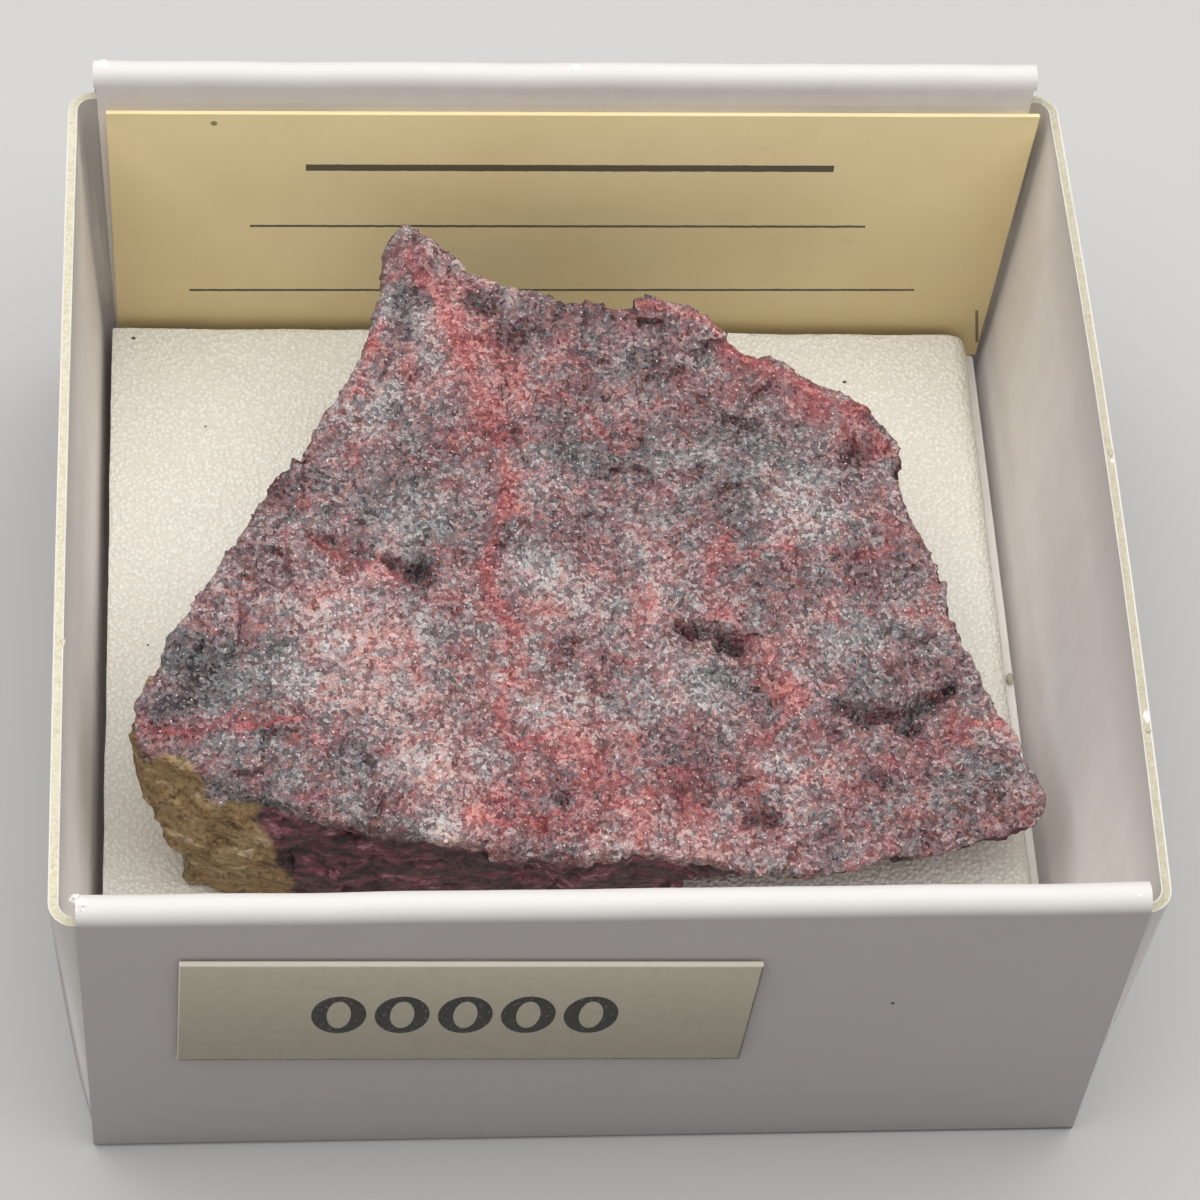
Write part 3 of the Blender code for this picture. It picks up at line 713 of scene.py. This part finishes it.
# Distances from the middle that the walls' outer faces, and the front and back walls, lie beyond
OUTER_FROM, END_WALLS_FROM = 19.6, 18.2
# Where the walls are cut beside their bends, so that the bends' soft shading ends there
BEND_CUTS_Y = (-17.5, 18.5)
BEND_CUT_Z = 1.6
# Degrees under which neighbouring faces are merged, on the bowed walls and elsewhere
BOWED_FLATNESS, PLAIN_FLATNESS = 0.02, 0.5


def card_finish(settings):
    """The white lining of the card, with a faint cloudiness, painted shade on the walls' outer faces and
    on the fold tops that face up.
    """
    finish = Finish("tray_card", roughness=0.62, specular=0.35)
    clouds = finish.noise(3.0, detail=3.0, roughness=0.6)
    streaks = finish.noise(1.1, place=finish.stretched((1.0, 1.0, 0.12)))
    soiled = finish.step(clouds * 0.6 + streaks * 0.4, 0.3, 0.75)
    tint = finish.mix(soiled, settings.card, tone(236, 230, 226))
    # Painted shade: the walls' outer faces take a greyer copy of the lining
    outer = finish.mix(clouds * 0.5, settings.outside, tone(180, 174, 172))
    tint = finish.mix(finish.attribute("outside"), tint, outer)
    # Painted shade: the fold tops that face up are painted darker to tone down their highlight
    tint = finish.mix(finish.attribute("crest"), tint, tone(216, 212, 208))
    fibres = finish.noise(0.12, detail=3.0, roughness=0.7)
    return finish.paint(tint, 0.6 + (clouds - 0.5) * 0.1, finish.bump(fibres, 0.12, 0.04))


def core_finish(settings):
    """The raw middle of the card where it was cut, darker on the right."""
    finish = Finish("card_core", roughness=0.85, specular=0.2)
    fibres = finish.noise(0.16, detail=3.0, roughness=0.8)
    tint = finish.ramp(fibres, (
        (0.25, tone(186, 176, 146)), (0.5, settings.core), (0.75, tone(224, 218, 200)),
    ))
    # Darker towards the right end of the tray
    darker_to_right = finish.step(finish.axes()[0], 12.0 * MM, 19.5 * MM)
    tint = finish.mix(darker_to_right * 0.24, tint, tone(92, 88, 78))
    return finish.paint(tint, normal=finish.bump(fibres, 0.6, 0.08))


def rim_face(face):
    """The cut edge along the top of the side walls and their flaps."""
    return face.normal.z > 0.9 and abs(face.calc_center_median().z / MM - SIDE_RIM) < 0.2


def fold_face(face):
    """Any face of the two rounded folds."""
    return face.calc_center_median().z / MM > FOLDS_FROM


def wall_face(face):
    """A flat face of one of the upright walls, inside or out."""
    return abs(face.normal.z) < 0.2


def side_face(face):
    """A face of the bowed side walls, inside or out, or a cut end."""
    return abs(face.normal.x) > 0.8


def fold_end(face):
    """The cut ends of the folded walls, which reach above the side walls."""
    at_end_wall = abs(face.calc_center_median().y / MM) > END_WALLS_FROM
    reach = max(v.co.z / MM for v in face.verts)
    return abs(face.normal.x) > 0.9 and at_end_wall and reach > ENDS_REACH


def at_flap(v):
    """Part of a side wall or a flap, and not of a folded panel."""
    return any(rim_face(face) for face in v.link_faces)


def pick(piece, wanted):
    """In edit mode, selects only the faces that a test wants."""
    bpy.ops.mesh.select_all(action="DESELECT")
    bm = bmesh.from_edit_mesh(piece.data)
    for face in bm.faces:
        if wanted(face):
            face.select_set(True)
    bmesh.update_edit_mesh(piece.data)


def cut(piece, wanted, place, normal):
    """In edit mode, cuts the wanted faces along a plane through a place in millimetres."""
    pick(piece, wanted)
    bpy.ops.mesh.bisect(plane_co=[c * MM for c in place], plane_no=normal, threshold=1e-7)


def show_core(bm):
    """The selected rims and the folds' cut ends take the second material, the raw core."""
    for face in bm.faces:
        if face.select or fold_end(face):
            face.material_index = 1


def widen_panels(bm):
    """Draws the ends of the folded panels out over the side walls, most at the top."""
    for v in bm.verts:
        spot = v.co / MM
        at_panel_end = 19.2 < abs(spot.x) < 19.5 and END_WALLS_FROM < abs(spot.y) < 20.6 and spot.z > 0.6
        if at_panel_end and not at_flap(v):
            v.co.x += math.copysign(0.55 * (spot.z / BACK_TOP) ** 0.6, spot.x) * MM


def wear_edges(bm):
    """Leaves the selected rims a little uneven, and lets the folds sag a little."""
    raw = {v for face in bm.faces if face.select for v in face.verts}
    for v in bm.verts:
        spot = v.co / MM
        if v in raw:
            v.co.z += (0.05 * noise.noise(spot * 3.1) - 0.03) * MM
        elif spot.z > ENDS_REACH:
            wave = noise.noise(Vector((spot.x * 0.22, math.copysign(3, spot.y), 7)))
            v.co.z -= 0.1 * (1 + wave) * MM


def outer_shade_mask(tray):
    """Where the walls' outer faces take painted shade: 1 on them, fading to 0 where the folds turn over
    the top.
    """
    bm = bmesh.new()
    bm.from_mesh(tray.data)
    values = []
    for v in bm.verts:
        x, y, z = v.co / MM
        walls = [face for face in v.link_faces if not fold_end(face)]
        at_side = abs(x) > OUTER_FROM and any(math.copysign(1, x) * face.normal.x > 0.9 for face in walls)
        out = [math.copysign(1, y) * face.normal.y for face in v.link_faces]
        at_end = abs(y) > OUTER_FROM and max(out) > 0.2
        top = FRONT_TOP if y < 0 else BACK_TOP
        faded = min(1.0, max(0.0, (top - 0.2 - z) / 0.5))
        values.append(1.0 if at_side else (faded if at_end else 0.0))
    bm.free()
    return values


class SPECIMEN_OT_tray(bpy.types.Operator):
    """Builds the open tray of white-lined card, with its raw cut rims"""

    bl_idname = "specimen.tray"
    bl_label = "Card tray"

    def execute(self, context):
        settings = context.scene.specimen_tray
        tray = copy_of_node("card_tray", "folded_tray")
        tray.data.materials.append(card_finish(settings))
        tray.data.materials.append(core_finish(settings))
        make_active(tray)
        bpy.ops.object.mode_set(mode="EDIT")
        for bowed, flatness in ((True, BOWED_FLATNESS), (False, PLAIN_FLATNESS)):
            pick(tray, lambda face: side_face(face) == bowed)
            bpy.ops.mesh.dissolve_limited(angle_limit=math.radians(flatness))
        for x in np.arange(-19.0, 19.5, RIM_STEP):
            cut(tray, fold_face, (x, 0, 0), (1, 0, 0))
        for y in np.arange(-19.4, 20.9, RIM_STEP):
            cut(tray, rim_face, (0, y, 0), (0, 1, 0))
        for y in BEND_CUTS_Y:
            cut(tray, wall_face, (0, y, 0), (0, 1, 0))
        cut(tray, wall_face, (0, 0, BEND_CUT_Z), (0, 0, 1))
        pick(tray, rim_face)
        bpy.ops.mesh.inset(thickness=settings.lining, depth=0.0)
        bm = bmesh.from_edit_mesh(tray.data)
        show_core(bm)
        widen_panels(bm)
        wear_edges(bm)
        bmesh.update_edit_mesh(tray.data)
        bpy.ops.object.mode_set(mode="OBJECT")
        # Marks the walls' outer faces for their painted shade
        keep_number(tray, "outside", outer_shade_mask(tray))
        # Where the folds' tops face up high on the tray, for their painted shade
        facing_up = np.array([v.normal.z for v in tray.data.vertices])
        high = ease(spots_in(tray)[:, 2], 16.5, 17.0)
        keep_number(tray, "crest", ease(facing_up, 0.1, 0.8) * high)
        settle(tray, "white_card", "card_tray")
        return {"FINISHED"}


# The liner and the foam

# How far the loose pieces' undersides come down to rest on what carries them
LOOSE_GAP = 0.29
# Rounding of the sheet's and of the papers' edges
SHEET_EDGE, PAPER_EDGE = 0.15, 0.03


def dress_sheet(node, name, slot, material, edge, under=None):
    """A flat piece with rounded edges, lowered under one height and not over another."""
    sheet = copy_of_node(node, name)
    if under:
        sink(sheet, *under, LOOSE_GAP)
    modify(sheet, "BEVEL", width=edge * MM, segments=2)
    sheet.data.materials.append(material)
    settle(sheet, slot, node)


def liner_finish(settings):
    """A smooth white sheet."""
    finish = Finish("liner_sheet", roughness=0.5, specular=0.4)
    clouds = finish.noise(4.0, detail=3.0)
    tint = finish.mix(finish.step(clouds, 0.35, 0.7), settings.liner, tone(232, 228, 221))
    return finish.paint(tint, normal=finish.bump(finish.noise(0.5), 0.1, 0.05))


class SPECIMEN_OT_liner(bpy.types.Operator):
    """Builds the smooth sheet on the floor of the tray"""

    bl_idname = "specimen.liner"
    bl_label = "Base liner"

    def execute(self, context):
        sheet = liner_finish(context.scene.specimen_paper)
        dress_sheet("base_liner", "floor_sheet", "liner_sheet", sheet, SHEET_EDGE, (1.0, 1.5))
        return {"FINISHED"}


def foam_finish(settings):
    """Glossy little cells of foam, with painted highlights on the cells' middles and painted shade in the
    hollows between them.
    """
    finish = Finish("foam_cells", roughness=0.42, specular=0.5)
    domes = finish.cells(settings.cell / MM)
    shade = finish.step(domes, 0.08, 0.6)
    clouds = finish.noise(2.4, detail=3.0)
    skin = finish.mix(finish.step(clouds, 0.35, 0.7), settings.foam, tone(248, 246, 238))
    # Painted highlight and shade: bright middles of the cells, darker hollows between them
    tint = finish.mix(shade * 0.7, skin, settings.gap)
    return finish.paint(tint, 0.28 + shade * 0.25, finish.bump(domes * -1.0, 0.7, 0.12))


class SPECIMEN_OT_foam(bpy.types.Operator):
    """Builds the cellular foam sheet that the stone lies on"""

    bl_idname = "specimen.foam"
    bl_label = "Foam pad"

    def execute(self, context):
        settings = context.scene.specimen_foam
        foam = copy_of_node("foam_pad", "cell_foam")
        sink(foam, 2.6, 3.0, LOOSE_GAP)
        modify(foam, "REMESH", mode="VOXEL", voxel_size=settings.mesh_size, use_smooth_shade=True)
        weigh(foam, "skin", ease(spots_in(foam)[:, 2], 2.7, 3.4))
        displace(foam, "CLOUDS", 3.0 * MM, 0.12 * MM, "skin")
        displace(foam, "VORONOI", settings.cell, -settings.cell_height, "skin", level=0.4)
        foam.data.materials.append(foam_finish(settings))
        settle(foam, "foam_sheet", "foam_pad", padded=1.0)
        return {"FINISHED"}


# The two papers

# Printed rules: height, thickness, left end and right end, in millimetres
RULES = ((14.6, 0.4, -11.1, 11.7), (10.9, 0.14, -13.5, 13.5), (6.7, 0.14, -16.2, 16.2))
# The print is on the front face alone, which lies nearer than this y
CARD_FRONT = 19.45
LABEL_WIDE, LABEL_HIGH = 22.0, 7.7
NOUGHTS, NOUGHT_STEP = 5, 2.42
# Half widths and half heights of a nought's outline and of its hole
NOUGHT_OUTLINE, NOUGHT_HOLE = (1.05, 1.5), (0.46, 1.08)


def together(marks):
    """Several printed marks as one."""
    return sum(marks[1:], marks[0])


def ruled_finish(settings):
    """Cream card with three printed rules."""
    finish = Finish("ruled_card", roughness=0.6, specular=0.35)
    x, y, z = finish.axes()
    clouds = finish.noise(6.0, detail=4.0, roughness=0.6)
    tint = finish.mix(finish.step(clouds, 0.3, 0.75), settings.name_card, tone(238, 217, 165))
    flecks = finish.noise(0.35, detail=3.0, roughness=0.7)
    tint = finish.mix(finish.step(flecks, 0.62, 0.8) * 0.25, tint, tone(190, 165, 112))
    wobble = (flecks - 0.5) * 0.08 * MM
    rules = []
    for height, thick, left, right in RULES:
        row = abs(z - height * MM + wobble) < thick * MM / 2
        rules.append(row * (x > left * MM) * (x < right * MM) * (y < CARD_FRONT * MM))
    lean = (5.22 * MM - z) * 0.14
    tick = (abs(x - 19.25 * MM - lean) < 0.07 * MM) * (z > 3.1 * MM) * (z < 5.3 * MM)
    across, up = x + 14.98 * MM, z - 17.3 * MM
    speck = across * across + up * up < (0.14 * MM) ** 2
    tint = finish.mix(finish.clamp(together(rules)) * 0.88, tint, settings.ink)
    tint = finish.mix(finish.clamp(tick + speck) * 0.75, tint, tone(88, 80, 56))
    return finish.paint(tint, normal=finish.bump(flecks, 0.08, 0.03))


class SPECIMEN_OT_name_card(bpy.types.Operator):
    """Builds the cream card that leans on the back wall"""

    bl_idname = "specimen.name_card"
    bl_label = "Name card"

    def execute(self, context):
        cream = ruled_finish(context.scene.specimen_paper)
        dress_sheet("name_card", "ruled_name_card", "cream_card", cream, PAPER_EDGE, (2.6, 3.0))
        return {"FINISHED"}


def label_finish(settings):
    """Paper with five plain noughts, painted darker as shade of the front wall, with a painted highlight
    on its top and left edges.
    """
    finish = Finish("nought_label", roughness=0.6, specular=0.3)
    turned = finish.add("ShaderNodeMapping", {"vector_type": "TEXTURE"}, {
        "Vector": finish.place, "Location": (-5.4 * MM, 0.0, 11.7 * MM),
        "Rotation": (0.0, math.radians(1.7), 0.0),
    })
    x, y, z = finish.axes(turned)
    fibres = finish.noise(0.4, detail=3.0, roughness=0.7)
    # Painted shade: both paper tones are darkened for the front wall's dimmer light
    tint = finish.mix(finish.step(fibres, 0.4, 0.8), settings.number_label, tone(176, 168, 148))

    def oval(across, up, halves):
        wide, high = across / halves[0], up / halves[1]
        return wide * wide + high * high

    up = z / MM + 0.1
    noughts = []
    for i in range(NOUGHTS):
        across = x / MM - ((i - NOUGHTS // 2) * NOUGHT_STEP - 0.05)
        noughts.append((oval(across, up, NOUGHT_OUTLINE) < 1.0) * (oval(across, up, NOUGHT_HOLE) > 1.0))
    worn = finish.step(finish.noise(0.16), 0.3, 0.42)
    tint = finish.mix(together(noughts) * (worn * 0.25 + 0.7), tint, settings.ink)
    ragged = (fibres - 0.5) * 0.12 * MM
    low_edge = z < (0.07 - LABEL_HIGH / 2) * MM + ragged
    right_edge = x > (LABEL_WIDE / 2 - 0.06) * MM + ragged
    tint = finish.mix(finish.clamp(low_edge + right_edge) * 0.8, tint, tone(70, 64, 58))
    # Painted highlight: a pale line along the top and left edges, where the cut edge catches the light
    lit_top_edge = z > (LABEL_HIGH / 2 - 0.09) * MM + ragged * 0.4
    lit_left_edge = x < (0.05 - LABEL_WIDE / 2) * MM
    tint = finish.mix(finish.clamp(lit_top_edge + lit_left_edge) * 0.7, tint, tone(236, 228, 212))
    return finish.paint(tint, normal=finish.bump(fibres, 0.08, 0.03))


class SPECIMEN_OT_number_label(bpy.types.Operator):
    """Builds the paper label on the front wall"""

    bl_idname = "specimen.number_label"
    bl_label = "Number label"

    def execute(self, context):
        paper = label_finish(context.scene.specimen_paper)
        dress_sheet("number_label", "front_label", "cream_paper", paper, PAPER_EDGE)
        return {"FINISHED"}


# The frayed paper and the dirt

# Tufts and torn bits of card: middle and half sizes in millimetres, and 1 where the raw core shows
NUBS = (
    ((-20.02, -18.95, 18.75), (0.22, 0.2, 0.3), 0), ((-19.75, -19.25, 18.85), (0.3, 0.3, 0.22), 0),
    ((19.55, -19.3, 18.8), (0.45, 0.34, 0.22), 0), ((19.88, -19.25, 18.3), (0.16, 0.42, 0.5), 1),
    ((19.95, -19.55, 17.6), (0.12, 0.2, 0.5), 1), ((-19.6, 20.55, 19.36), (0.35, 0.35, 0.19), 0),
    ((21.2, 1.8, 17.66), (0.12, 0.2, 0.1), 1), ((21.22, 1.35, 17.66), (0.08, 0.1, 0.08), 0),
    ((21.1, -10.8, 17.66), (0.12, 0.28, 0.09), 0), ((21.1, -11.4, 17.66), (0.1, 0.14, 0.08), 1),
    ((-20.75, -7.0, 17.66), (0.1, 0.2, 0.08), 1), ((0.25, 20.5, 19.47), (0.25, 0.2, 0.09), 0),
    ((19.3, 0.66, 2.3), (0.16, 0.3, 0.14), 1),
)
# Specks of dirt: middle and size in millimetres
FLECKS = (
    ((13.07, 15.26, 4.2), 0.11), ((-18.7, 17.4, 4.7), 0.09), ((11.1, -19.92, 11.55), 0.07),
    ((-15.5, 12.6, 4.65), 0.05), ((14.8, 12.2, 4.2), 0.05), ((-17.9, 1.2, 4.7), 0.05),
)


def add_tuft(name, middle, sizes):
    """A small torn lump, from a ball pulled about by noise."""
    bpy.ops.mesh.primitive_ico_sphere_add(
        subdivisions=4, radius=MM, location=[c * MM for c in middle],
    )
    tuft = bpy.context.object
    tuft.name = name
    tuft.scale = sizes
    bpy.ops.object.transform_apply(location=True, rotation=True, scale=True)
    displace(tuft, "CLOUDS", 0.16 * MM, 0.9 * min(sizes) * MM, noise_depth=2)
    return tuft


def joined(parts, name):
    """Several parts as one piece."""
    make_active(parts[0])
    for part in parts:
        part.select_set(True)
    bpy.ops.object.join()
    parts[0].name = name
    return parts[0]


def fleck_finish():
    """Brown dust."""
    finish = Finish("brown_dust", roughness=0.8)
    grain = finish.noise(0.05)
    return finish.paint(finish.ramp(grain, ((0.3, tone(58, 50, 40)), (0.7, tone(104, 92, 72)))))


class SPECIMEN_OT_nubs(bpy.types.Operator):
    """Adds the frayed bits of card and the specks of dirt"""

    bl_idname = "specimen.nubs"
    bl_label = "Frayed card and dirt"

    def execute(self, context):
        finishes = (bpy.data.materials["tray_card"], bpy.data.materials["card_core"])
        tufts = []
        for i, (middle, sizes, core) in enumerate(NUBS):
            tufts.append(add_tuft(f"tuft_{i}", middle, sizes))
            tufts[-1].data.materials.append(finishes[core])
        nubs = joined(tufts, "paper_nubs")
        dust = fleck_finish()
        flecks = []
        for i, (middle, size) in enumerate(FLECKS):
            flecks.append(add_tuft(f"fleck_{i}", middle, (size, size * 0.7, size * 0.5)))
            flecks[-1].data.materials.append(dust)
        for piece, slot in ((nubs, "white_card"), (joined(flecks, "dirt_flecks"), "foam_sheet")):
            make_active(piece)
            bpy.ops.object.shade_smooth()
            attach(piece, BODY)
        return {"FINISHED"}


# The stage

TABLE_WIDE = 4.0
CAMERA_PLACE = (-13.28, -92.67, 150.88)
CAMERA_AZIMUTH, CAMERA_ELEVATION, CAMERA_ROLL = -8.689, 56.406, 6.884
CAMERA_LENS, CAMERA_SENSOR = 122.5, 36.0
CAMERA_NEAR, CAMERA_FAR = 0.001, 10.0


def turned_camera():
    """The camera's directions: right, up and back."""
    azimuth, elevation, roll = (math.radians(a) for a in (CAMERA_AZIMUTH, CAMERA_ELEVATION, CAMERA_ROLL))
    flat = math.cos(elevation)
    back = Vector((math.sin(azimuth) * flat, -math.cos(azimuth) * flat, math.sin(elevation)))
    level = (-back).cross(Vector((0, 0, 1))).normalized()
    above = level.cross(-back)
    right = math.cos(roll) * level + math.sin(roll) * above
    up = math.cos(roll) * above - math.sin(roll) * level
    return Matrix((right, up, back)).transposed().to_4x4()


def hang_light(name, place, wide, deep, watts):
    """A soft oblong light that faces the tray, its place and size in metres."""
    bpy.ops.object.light_add(type="AREA", location=place)
    light = bpy.context.object
    light.name = name
    light.data.shape = "RECTANGLE"
    light.data.size = wide
    light.data.size_y = deep
    light.data.energy = watts
    light.rotation_euler = (-light.location).to_track_quat("-Z", "Y").to_euler()


class SPECIMEN_OT_stage(bpy.types.Operator):
    """Sets the table, the soft light overhead and the camera"""

    bl_idname = "specimen.stage"
    bl_label = "Stage"

    def execute(self, context):
        settings = context.scene.specimen_stage
        scene = context.scene
        deselect_all()
        bpy.ops.mesh.primitive_plane_add(size=TABLE_WIDE, location=(0, 0, 0))
        floor = context.object
        floor.name = "table"
        finish = Finish("table_top", roughness=0.8, specular=0.2)
        floor.data.materials.append(finish.paint(settings.floor))
        hang_light("overhead_light", (0.0, 0.05, 0.38), 0.80, 0.60, settings.key_power)
        hang_light("front_light", (-0.04, -0.32, 0.34), 0.40, 0.30, settings.fill_power)
        world = bpy.data.worlds.new("room")
        world.use_nodes = True
        glow = world.node_tree.nodes["Background"]
        glow.inputs["Color"].default_value = (1.0, 1.0, 1.0, 1.0)
        glow.inputs["Strength"].default_value = settings.room
        scene.world = world
        scene.view_settings.view_transform = "Standard"
        bpy.ops.object.camera_add()
        camera = context.object
        camera.matrix_world = Matrix.Translation(Vector(CAMERA_PLACE) * MM) @ turned_camera()
        camera.data.sensor_width = CAMERA_SENSOR
        camera.data.lens = CAMERA_LENS
        camera.data.clip_start = CAMERA_NEAR
        camera.data.clip_end = CAMERA_FAR
        scene.camera = camera
        return {"FINISHED"}


# The add-on

PIECES = (
    SPECIMEN_OT_tray, SPECIMEN_OT_liner, SPECIMEN_OT_foam, SPECIMEN_OT_name_card,
    SPECIMEN_OT_number_label, SPECIMEN_OT_stone, SPECIMEN_OT_nubs, SPECIMEN_OT_stage,
)


class SPECIMEN_PT_pieces(bpy.types.Panel):
    """Lists the pieces and the stage"""

    bl_idname = "SPECIMEN_PT_pieces"
    bl_label = "Specimen"
    bl_space_type = "VIEW_3D"
    bl_region_type = "UI"
    bl_category = "Specimen"

    def draw(self, context):
        for piece in PIECES:
            self.layout.operator(piece.bl_idname)


SETTINGS = {
    "specimen_stone": StoneSettings,
    "specimen_tray": TraySettings,
    "specimen_foam": FoamSettings,
    "specimen_paper": PaperSettings,
    "specimen_stage": StageSettings,
}


def register():
    for name, group in SETTINGS.items():
        bpy.utils.register_class(group)
        setattr(bpy.types.Scene, name, PointerProperty(type=group))
    for piece in (*PIECES, SPECIMEN_PT_pieces):
        bpy.utils.register_class(piece)


def unregister():
    for piece in (SPECIMEN_PT_pieces, *PIECES):
        bpy.utils.unregister_class(piece)
    for name, group in SETTINGS.items():
        delattr(bpy.types.Scene, name)
        bpy.utils.unregister_class(group)


def main():
    register()
    bpy.ops.specimen.tray()
    bpy.ops.specimen.liner()
    bpy.ops.specimen.foam()
    bpy.ops.specimen.name_card()
    bpy.ops.specimen.number_label()
    bpy.ops.specimen.stone()
    bpy.ops.specimen.nubs()
    bpy.ops.specimen.stage()


if __name__ == "__main__":
    main()
